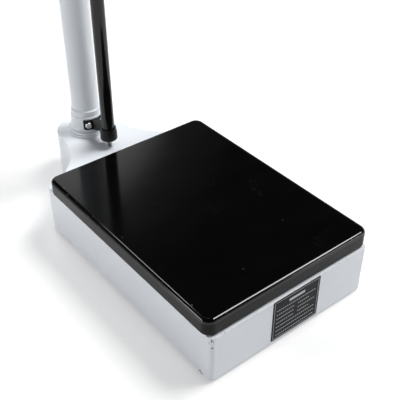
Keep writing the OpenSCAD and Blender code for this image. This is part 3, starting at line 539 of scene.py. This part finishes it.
# %% Make the plate's ground and the inks
def printed(name, colour, shade, roughness):
    tree, shader, point = new_finish(name, Specular_IOR_Level=0.08)
    grain = tree.noise(point, 1500, 2.0)
    tree.join(tree.mix(tree.noise(point, 50, 4.0), colour, shade), shader.inputs["Base Color"])
    tree.join(roughness + grain * 0.1, shader.inputs["Roughness"])
    rough_skin(tree, shader, grain, 0.008 * MM)


printed("plate_black", (0.012, 0.0125, 0.015, 1), (0.018, 0.0185, 0.021, 1), 0.36)
printed("pale_ink", (0.62, 0.63, 0.64, 1), (0.50, 0.51, 0.52, 1), 0.5)
printed("dark_ink", (0.015, 0.015, 0.016, 1), grey(0.03), 0.5)
print("slots without a finish:", sorted(set(slot_of.values()) - set(finishes)))

# %% [markdown]
# ## Rounded edges
#
# No real edge is a perfect corner: a casting is rounded by its mould and its paint, a pressed
# sheet by its tool, and a turned part by a file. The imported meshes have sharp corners, so each
# piece gets a copy whose sharp edges are rounded with bmesh, and the copy stands for the node.
# The new faces are marked "edge", which the finishes read. Several passes, each with its own
# width, can round some edges more than others.

# %% Copy a node and round its edges
weld_distance = 1e-6
flat_angle = math.radians(0.5)
sharp_angle = math.radians(30)
smooth_angle = math.radians(32)


def clean_mesh(node):
    """The node's mesh as a bmesh, welded, with its flat faces in one piece each."""
    mesh = bmesh.new()
    mesh.from_mesh(frame["nodes"][node].data)
    bmesh.ops.remove_doubles(mesh, verts=mesh.verts, dist=weld_distance)
    bmesh.ops.dissolve_limit(mesh, angle_limit=flat_angle, verts=mesh.verts, edges=mesh.edges)
    return mesh


def round_edges(mesh, width, segments, chosen):
    """Rounds the sharp edges that chosen picks by their middle, and marks the new faces."""
    mark = mesh.faces.layers.float.get("edge") or mesh.faces.layers.float.new("edge")
    sharp = [e for e in mesh.edges if e.is_manifold and e.calc_face_angle(0) > sharp_angle]
    sharp = [e for e in sharp if chosen((e.verts[0].co + e.verts[1].co) / 2)]
    made = bmesh.ops.bevel(
        mesh, geom=sharp, offset=width, offset_type="OFFSET", segments=segments, profile=0.5,
        affect="EDGES", clamp_overlap=True)
    for face in made["faces"]:
        face[mark] = 1.0
    return len(sharp)


def new_piece(name, mesh, finish, body):
    """An object from a bmesh, shaded smooth up to an angle, that rides on a body."""
    data = bpy.data.meshes.new(name)
    mesh.to_mesh(data)
    mesh.free()
    data.polygons.foreach_set("use_smooth", [True] * len(data.polygons))
    data.set_sharp_from_angle(angle=smooth_angle)
    data.materials.append(finish)
    piece = bpy.data.objects.new(name, data)
    bpy.context.scene.collection.objects.link(piece)
    even = piece.modifiers.new("even_normals", "WEIGHTED_NORMAL")
    even.keep_sharp = True
    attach(piece, body)
    return piece


def anywhere(point):
    return True


def rounded(node, *passes):
    """A piece with rounded edges that stands for the node. A pass is (width, steps, chosen)."""
    mesh = clean_mesh(node)
    counts = [round_edges(mesh, width, segments, chosen) for width, segments, chosen in passes]
    piece = new_piece(node + "_body", mesh, finishes[slot_of[node]], body_of[node])
    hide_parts(node)
    print(node, "rounded", counts, "edges,", len(piece.data.polygons), "faces")


print("edges of more than", round(math.degrees(sharp_angle)), "degrees are sharp")

# %% [markdown]
# ## The base
#
# The base is one iron casting: walls, a rim under the platform, and a neck whose sides sweep in
# to the column. The rim round its outline is well rounded, the foot of its walls half as much,
# and its other edges hardly at all. Three small functions tell these edges apart by where
# their middles lie, so three passes can give each kind its own width.

# %% Round the base
base_low, base_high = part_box("base_casting")
tray_low, tray_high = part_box("platform_tray")
collar_low, collar_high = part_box("column_collar")
column_centre = (collar_low + collar_high) / 2
neck_radius = base_high.y - column_centre.y
wall = 6 * MM
rim_z = tray_low.z - 2 * MM
neck_from = tray_high.y + 10 * MM
level_slack = 0.2 * MM


def on_outside(point):
    """True for points of the casting's outline, seen from above."""
    side = base_high.x - abs(point.x) < wall / 2
    front = point.y - base_low.y < wall / 2
    behind = point.y > neck_from
    near_neck = (point.xy - column_centre.xy).length > neck_radius - wall / 2
    return side or front or (behind and near_neck)


def on_rim(point):
    return abs(point.z - rim_z) < level_slack and on_outside(point)


def on_foot(point):
    return abs(point.z - base_low.z) < level_slack and on_outside(point)


rounded("base_casting", (1.6 * MM, 4, on_rim), (0.8 * MM, 3, on_foot), (0.35 * MM, 2, anywhere))

# %% [markdown]
# ## The platform
#
# The platform is pressed from one sheet. Its top is flat, its edge is rolled over with a small
# radius and its corners are round, and this thin roll is where the bright line along the edge
# runs. A loft makes it: rings of a rounded rectangle, one above another, joined by faces. The
# rings follow the sheet from inside the skirt, round its lower lip, up the side and over the roll.

# %% Loft rings of points
def rounded_ring(width, length, radius, z, centre, steps):
    """Points of a rounded rectangle, the same number at each corner, whatever its radius."""
    points = []
    for corner in range(4):
        turn = corner * math.pi / 2
        sign_x = 1 if corner in (0, 3) else -1
        sign_y = 1 if corner in (0, 1) else -1
        hub = Vector((sign_x * (width / 2 - radius), sign_y * (length / 2 - radius), z)) + centre
        for step in range(steps + 1):
            angle = turn + step / steps * math.pi / 2
            points.append(hub + Vector((radius * math.cos(angle), radius * math.sin(angle), 0)))
    return points


def loft(mesh, rings, endless=False):
    """Faces between rings of points. The last ring joins the first, or each end gets a face."""
    rows = [[mesh.verts.new(point) for point in ring] for ring in rings]
    made = []
    for low, high in zip(rows, rows[1:] + rows[:1] if endless else rows[1:]):
        for i in range(len(low)):
            j = (i + 1) % len(low)
            made.append(mesh.faces.new((low[i], low[j], high[j], high[i])))
    if not endless:
        made.append(mesh.faces.new(list(reversed(rows[0]))))
        made.append(mesh.faces.new(rows[-1]))
    return made


trial = rounded_ring(1.0, 1.0, 0.1, 0.0, Vector(), 2)
print("a ring with 2 steps at each corner has", len(trial), "points")

# %% Press the platform
corner_radius, corner_steps = 14 * MM, 14
roll_radius, roll_steps = 5.5 * MM, 12
lip_height, lip_steps = 1.2 * MM, 8
sheet = 3 * MM


def sheet_profile():
    """(distance in from the outline, height, on the roll) along the sheet, from inside to the top."""
    low, high = tray_low.z, tray_high.z
    points = [(sheet, high - sheet, 0), (sheet, low + lip_height, 0)]
    for step in range(1, lip_steps + 1):
        angle = math.pi * step / lip_steps
        inset = sheet / 2 + sheet / 2 * math.cos(angle)
        points.append((inset, low + lip_height * (1 - math.sin(angle)), 0))
    points.append((0, low + 4 * lip_height, 0))
    points.append((0, high - roll_radius - 1 * MM, 0))
    for step in range(roll_steps + 1):
        angle = math.pi / 2 * step / roll_steps
        inset = roll_radius * (1 - math.cos(angle))
        points.append((inset, high - roll_radius * (1 - math.sin(angle)), 1))
    points.append((roll_radius + 1.5 * MM, high, 0))
    return points


mesh = bmesh.new()
mark = mesh.faces.layers.float.new("edge")
width, length = tray_high.x - tray_low.x, tray_high.y - tray_low.y
centre = Vector(((tray_low.x + tray_high.x) / 2, (tray_low.y + tray_high.y) / 2, 0))
profile = sheet_profile()
rings = []
for inset, z, on_roll in profile:
    radius = max(corner_radius - inset, 1 * MM)
    rings.append(rounded_ring(width - 2 * inset, length - 2 * inset, radius, z, centre, corner_steps))
faces = loft(mesh, rings)
ring_points = len(rings[0])
for row, (inset, z, on_roll) in enumerate(profile[:-1]):
    for face in faces[row * ring_points:(row + 1) * ring_points]:
        face[mark] = float(on_roll)
platform = new_piece("platform_sheet", mesh, finishes["platform_black"], "platform")
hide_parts("platform_tray")
print("platform", len(platform.data.polygons), "faces from", len(rings), "rings")

# %% [markdown]
# ## All the other pieces
#
# Each piece gets the rounding that its making gives it: the soft moulded cap of the rod 2.2 mm,
# cast pieces 0.9 mm, bent straps and milled blocks 0.7 mm, moulded and pressed pieces 0.5 mm,
# the collar's turned ledges a little less, drawn tubes and bars 0.3 mm, and small screws and
# knife edges hardly any. The widths stand in one table by node, and a loop rounds them all.

# %% Round the rest
edge_widths = {
    2.2 * MM: ["rod_end_cap"],
    0.45 * MM: ["column_collar"],
    0.9 * MM: ["head_casting", "beam_guard", "main_poise", "long_lever", "short_lever"],
    0.7 * MM: ["rod_bracket_lower", "rod_bracket_upper", "beam_block", "beam_end_block", "beam_stand",
               "fractional_poise", "head_bar_bracket", "head_bar"],
    0.5 * MM: ["rod_outer_guide", "rod_middle_guide", "feet", "platform_frame", "lower_stirrup",
               "upper_stirrup", "lever_link"],
    0.3 * MM: ["column_tube", "rod_outer_tube", "rod_middle_tube", "rod_inner_tube", "bottom_cover",
               "lever_seats", "platform_seats", "beam_seats", "main_bar", "fractional_bar",
               "beam_pointer", "pull_rod_nuts", "head_bar_pin", "rod_foot_screw", "pull_rod"],
    0.15 * MM: ["cover_screws", "foot_screws", "collar_set_screws", "lower_bracket_screws",
                "upper_bracket_screws", "head_set_screws", "stand_screws", "long_lever_pivots",
                "short_lever_pivots", "beam_pivots"],
}
for edge_width, nodes in edge_widths.items():
    for node in nodes:
        rounded(node, (edge_width, 2, anywhere))

# %% [markdown]
# ## The plate's blank form
#
# On an etched plate the ground is eaten away and painted, and the lines stay a little proud of
# it. The plate's front face therefore goes back by a tenth of a millimetre, and the raised lines
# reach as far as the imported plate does. The form is blank: a border, a bar at the top, and rows
# of dotted lines to write on, some of them in two columns.

# %% Make the plate's ground
relief = 0.1 * MM
plate_low, plate_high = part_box("name_plate")


def finished(name, mesh, finish, body, node=None, slot=None):
    """A new piece with its faces turned outwards, which may stand for a node."""
    bmesh.ops.recalc_face_normals(mesh, faces=mesh.faces)
    piece = new_piece(name, mesh, finish, body)
    if node:
        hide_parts(node)
    slot or slot_of[node]
    print(name, len(piece.data.polygons), "faces")


mesh = clean_mesh("name_plate")
for corner in mesh.verts:
    if corner.co.y < plate_low.y + relief:
        corner.co.y += relief
round_edges(mesh, relief, 2, anywhere)
finished("name_plate_ground", mesh, finishes["plate_black"], "frame", node="name_plate")

# %% Rule the plate
plate_width, plate_height = plate_high.x - plate_low.x, plate_high.z - plate_low.z
line_depth = (-0.05 * MM, relief)
margin, rule = 2.5 * MM, 0.5 * MM
title_inset, title_height = 28 * MM, 4.2 * MM
title = plate_height - 13 * MM
text_left, text_right = 7 * MM, plate_width - 7 * MM
row_count, row_pitch, first_row = 7, 7.4 * MM, title - 6.5 * MM
split_rows, column_gap, short_by = (1, 2, 3), 6 * MM, 9 * MM
dash, dash_gap, dash_height = 2.2 * MM, 1.3 * MM, 1.2 * MM


def bar(mesh, place, across, along, depth, steps=1):
    """A thin closed strip. place turns (across, along, out) into a point in space."""
    (left, right), (foot, top), (inside, outside) = across, along, depth
    corners = ((foot, inside), (top, inside), (top, outside), (foot, outside))
    rings = []
    for step in range(steps + 1):
        u = left + (right - left) * step / steps
        rings.append([place(u, v, out) for v, out in corners])
    loft(mesh, rings)


def on_plate(u, v, out):
    """From the plate's lower left corner, seen from the front."""
    return Vector((plate_low.x + u, plate_low.y + relief - out, plate_low.z + v))


def dotted(start, end, v):
    while start + dash <= end:
        bar(mesh, on_plate, (start, start + dash), (v, v + dash_height), line_depth)
        start += dash + dash_gap


mesh = bmesh.new()
for v in (margin, plate_height - margin - rule):
    bar(mesh, on_plate, (margin, plate_width - margin), (v, v + rule), line_depth)
for u in (margin, plate_width - margin - rule):
    bar(mesh, on_plate, (u, u + rule), (margin, plate_height - margin), line_depth)
bar(mesh, on_plate, (title_inset, plate_width - title_inset), (title, title + title_height), line_depth)
for row in range(row_count):
    v = first_row - row * row_pitch
    if row in split_rows:
        dotted(text_left, plate_width / 2 - column_gap / 2, v)
        dotted(plate_width / 2 + column_gap / 2, text_right - (row % 2) * short_by, v)
    else:
        dotted(text_left, text_right, v)
finished("name_plate_rules", mesh, finishes["pale_ink"], "frame", slot="plate_black")

# %% [markdown]
# ## Turned pieces of the beam
#
# The small balance weight runs on a threaded screw and is knurled so that fingers can turn it,
# and so is the knob of the small poise. A lathe makes them, so a loft of rings does here. The
# thread is a ring whose radius follows a saw tooth that winds round it, and a knurl is a ring
# whose radius goes up and down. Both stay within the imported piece's radius.

# %% Cut the thread
screw_low, screw_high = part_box("balance_screw")
screw_centre = (screw_low + screw_high) / 2
screw_length, screw_radius = screw_high.x - screw_low.x, (screw_high.z - screw_low.z) / 2
thread_pitch, thread_depth, thread_sides = 2.0 * MM, 0.35 * MM, 20
rings_per_turn = 5
chamfer_length, chamfer_slope = 1 * MM, 0.7


def turned_ring(axis, centre, radius, sides):
    """Points of a circle square to the x or z axis. radius is a function of the share of a turn."""
    points = []
    for side in range(sides):
        share = side / sides
        a = radius(share) * math.cos(2 * math.pi * share)
        b = radius(share) * math.sin(2 * math.pi * share)
        points.append(centre + (Vector((0, a, b)) if axis == "x" else Vector((a, b, 0))))
    return points


def thread(x):
    """The thread's radius at x, as a function of the share of a turn."""
    chamfer = max(0.0, chamfer_length - (x - screw_low.x)) * chamfer_slope
    crest = screw_radius - chamfer
    return lambda share: crest - thread_depth * abs(((x / thread_pitch - share) % 1.0) * 2 - 1)


mesh = bmesh.new()
ring_count = round(screw_length / (thread_pitch / rings_per_turn))
rings = []
for i in range(ring_count + 1):
    x = screw_low.x + screw_length * i / ring_count
    rings.append(turned_ring("x", Vector((x, screw_centre.y, screw_centre.z)), thread(x), thread_sides))
loft(mesh, rings)
finished("balance_screw_thread", mesh, finishes[slot_of["balance_screw"]], "beam", node="balance_screw")

# %% Knurl the balance weight and the knob
weight_low, weight_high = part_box("balance_weight")
knob_low, knob_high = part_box("fractional_poise_screw")
points_per_ridge = 4
bore_radius = 2.7 * MM
weight_radius = (weight_high.z - weight_low.z) / 2
hub_radius = weight_radius - 2 * MM
hub_edge, weight_edge = hub_radius - 0.6 * MM, weight_radius - 0.7 * MM
weight_profile = [
    (0, bore_radius, 0), (0, hub_edge, 0), (0.6 * MM, hub_radius, 0), (2 * MM, hub_radius, 0),
    (2 * MM, weight_edge, 0), (2.7 * MM, weight_radius, 1), (11.3 * MM, weight_radius, 1),
    (12 * MM, weight_edge, 0), (12 * MM, hub_radius, 0), (13.4 * MM, hub_radius, 0),
    (14 * MM, hub_edge, 0), (14 * MM, bore_radius, 0),
]
knob_radius, shank_radius = (knob_high.x - knob_low.x) / 2, 1.7 * MM
knob_foot = knob_high.z - 5 * MM
knob_profile = [
    (knob_low.z, shank_radius, 0), (knob_foot, shank_radius, 0), (knob_foot, knob_radius - 0.4 * MM, 0),
    (knob_foot + 0.4 * MM, knob_radius, 1), (knob_high.z - 0.6 * MM, knob_radius, 1),
    (knob_high.z, knob_radius - 0.6 * MM, 0),
]


def knurled_loft(axis, place, profile, ridges, depth, endless):
    """A turned piece whose profile is (distance along the axis, radius, ridged)."""
    mesh = bmesh.new()
    rings = []
    for along, radius, ridged in profile:
        def ridge(share, radius=radius, cut=depth * ridged):
            return radius - cut * (0.5 - 0.5 * math.cos(2 * math.pi * ridges * share))

        rings.append(turned_ring(axis, place(along), ridge, ridges * points_per_ridge))
    loft(mesh, rings, endless)
    return mesh


def in_weight(along):
    return Vector((weight_low.x + along, screw_centre.y, screw_centre.z))


def in_knob(along):
    return Vector(((knob_low.x + knob_high.x) / 2, (knob_low.y + knob_high.y) / 2, along))


weight, knob = "balance_weight", "fractional_poise_screw"
mesh = knurled_loft("x", in_weight, weight_profile, ridges=44, depth=0.45 * MM, endless=True)
finished("balance_weight_knurled", mesh, finishes[slot_of[weight]], body_of[weight], node=weight)
mesh = knurled_loft("z", in_knob, knob_profile, ridges=20, depth=0.3 * MM, endless=False)
finished("fractional_poise_knob", mesh, finishes[slot_of[knob]], body_of[knob], node=knob)

# %% [markdown]
# ## Graduations
#
# The bars and the height rod are read by plain numbers. On the real beam they are engraved and
# filled with ink, and on the tubes they are etched. Here each mark is a thin strip of ink, and
# each number comes from Blender's own letter shapes, turned into a mesh. A function lays them on
# a flat face or wraps them round a tube, so the same code does both.

# %% Lay marks and numbers
ink_depth = (-0.08 * MM, 0.03 * MM)
ink_middle, ink_half = (ink_depth[0] + ink_depth[1]) / 2, (ink_depth[1] - ink_depth[0]) / 2
figure_share = 0.7
figure_steps = 3


def number(mesh, place, way, text, height, u, v):
    """Adds a number centred on (u, v) of a face. way is -1 where the face is seen from behind."""
    curve = bpy.data.curves.new("figures", "FONT")
    curve.body = text
    curve.size = height / figure_share
    curve.align_x, curve.align_y = "CENTER", "CENTER"
    curve.resolution_u = figure_steps
    curve.extrude = ink_half
    holder = bpy.data.objects.new("figures", curve)
    shapes = bpy.data.meshes.new_from_object(holder)
    for corner in shapes.vertices:
        corner.co = place(u + way * corner.co.x, v + corner.co.y, ink_middle + corner.co.z)
    mesh.from_mesh(shapes)
    bpy.data.objects.remove(holder)
    bpy.data.meshes.remove(shapes)
    bpy.data.curves.remove(curve)


def stroke(mesh, place, end, width, foot, top):
    """An upright line of ink, to the left of its end."""
    bar(mesh, place, (end - width, end), (foot, top), ink_depth)


def flat_face(middle, low, high, side):
    """The side -1 or 1 of a piece, square to y. low and high are the corners of its box."""
    half = (high.y - low.y) / 2
    return lambda u, v, out: Vector((u, middle + side * (half + out), v))


def tube_face(centre, radius):
    """The side of an upright tube, with u measured round it from its front."""
    def place(u, v, out):
        angle = u / radius
        across = Vector((math.sin(angle), -math.cos(angle), 0)) * (radius + out)
        return Vector((centre.x, centre.y, v)) + across
    return place


def marked(name, mesh, body, ink, slot):
    bmesh.ops.remove_doubles(mesh, verts=mesh.verts, dist=weld_distance)
    finished(name, mesh, finishes[ink], body, slot=slot)


print("ink is", round(2 * ink_half / MM, 2), "mm thick")

# %% [markdown]
# ## The two bars
#
# The main bar has a notch every 20 kg and the small bar a line every half kilogram. A poise is
# read at its right edge, so a bar's zero stands where that edge is at rest. The beam is read
# from both sides, so every mark is laid twice, and a pale line on each poise shows where to read.

# %% Graduate the two bars
main_low, main_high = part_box("main_bar")
small_low, small_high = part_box("fractional_bar")
block_low, block_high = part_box("beam_end_block")
main_poise_low, main_poise_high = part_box("main_poise")
small_poise_low, small_poise_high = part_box("fractional_poise")
bar_y = (main_low.y + main_high.y) / 2
notches, notch_pitch, kilos_per_notch = 7, 26 * MM, 20
half_kilos, half_kilo = 41, 4 * MM
thin, thick = 0.35 * MM, 0.7 * MM
dark_marks, pale_marks, small_pale_marks = bmesh.new(), bmesh.new(), bmesh.new()


def tick_height(i):
    """Long at every fifth kilogram, middling at the whole ones and short between."""
    return (5.0 if i % 10 == 0 else 3.6 if i % 2 == 0 else 2.2) * MM


for side in (-1, 1):
    main_face = flat_face(bar_y, main_low, main_high, side)
    small_face = flat_face(bar_y, small_low, small_high, side)
    block_face = flat_face(bar_y, block_low, block_high, side)
    for i in range(notches):
        x = main_poise_high.x + i * notch_pitch
        stroke(dark_marks, main_face, x, thick, main_high.z - 11 * MM, main_high.z - 3 * MM)
        face = block_face if x + 8.5 * MM > block_low.x else main_face
        text = str(kilos_per_notch * i)
        number(dark_marks, face, -side, text, 5 * MM, x + 8 * MM, main_high.z - 8.5 * MM)
    for i in range(half_kilos):
        x = small_poise_high.x + i * half_kilo
        stroke(dark_marks, small_face, x, thin, small_high.z - tick_height(i), small_high.z - 0.4 * MM)
        if i % 4 == 0:
            text = str(i // 2)
            number(dark_marks, small_face, -side, text, 3.2 * MM, x + 2.4 * MM, small_low.z + 3.4 * MM)
    face = flat_face(bar_y, main_poise_low, main_poise_high, side)
    x = main_poise_high.x - 2 * MM
    stroke(pale_marks, face, x, thick, main_low.z + 2 * MM, main_high.z - 4 * MM)
    face = flat_face(bar_y, small_poise_low, small_poise_high, side)
    x = small_poise_high.x - 1.4 * MM
    stroke(small_pale_marks, face, x, thick, small_low.z + 1 * MM, small_high.z)
marked("beam_graduations", dark_marks, "beam", "dark_ink", "plate_black")
marked("main_poise_mark", pale_marks, body_of["main_poise"], "pale_ink", "white_enamel")
marked("fractional_poise_mark", small_pale_marks, body_of["fractional_poise"], "pale_ink", "white_enamel")

# %% [markdown]
# ## The height rod
#
# A height is read at the top of the guide that a tube slides out of, so the numbers run down
# the tube: the further it is drawn out, the higher the reading. The first reading is the height
# of the head bar above the platform when the rod is pushed in. The platform's top is at z = 0.
# The bar hangs folded at rest, and in use its underside lies as far below the hinge as its
# folded end now stands above it.

# %% Graduate the height rod
hinge_low, hinge_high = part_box("head_bar_pin")
folded_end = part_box("head_bar")[1].z
read_height = hinge_low.z + hinge_high.z - folded_end
CM = 0.01
marked_length = 60
units_round = 8


def graduate(tube, guide, low_reading):
    """Centimetres on a tube. low_reading is the height that shows at the guide's top at first."""
    tube_low, tube_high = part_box(tube)
    guide_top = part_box(guide)[1].z
    radius = (tube_high.x - tube_low.x) / 2
    face = tube_face((tube_low + tube_high) / 2, radius)
    unit = radius / units_round
    left, figures = -6.2 * unit, 3.9 * unit
    mesh = bmesh.new()
    for half_steps in range(2 * marked_length):
        value = math.ceil(low_reading / CM) + half_steps / 2
        z = guide_top - (value * CM - low_reading)
        whole, five = half_steps % 2 == 0, value % 5 == 0
        right = left + (6.0 if five else 3.6 if whole else 2.0) * unit
        line = thin / 2 if whole else thin / 3
        bar(mesh, face, (left, right), (z - line, z + line), ink_depth, steps=3)
        if five:
            number(mesh, face, 1, str(int(value)), 3.2 * unit, figures, z)
    print(tube, "reads from", math.ceil(low_reading / CM), "to", int(value), "cm")
    marked(tube + "_graduations", mesh, body_of[tube], "dark_ink", "plate_black")


graduate("rod_middle_tube", "rod_outer_guide", read_height)
graduate("rod_inner_tube", "rod_middle_guide", read_height + joint_range["rod_middle_slide"][1])

# %% [markdown]
# ## Measure and finish
#
# The visual model has to fill the same box as the imported one. The last lines measure the
# visual box and print it.

# %% Measure the visual box
low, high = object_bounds()
print("visual box", [round(x, 4) for x in low], [round(x, 4) for x in high])
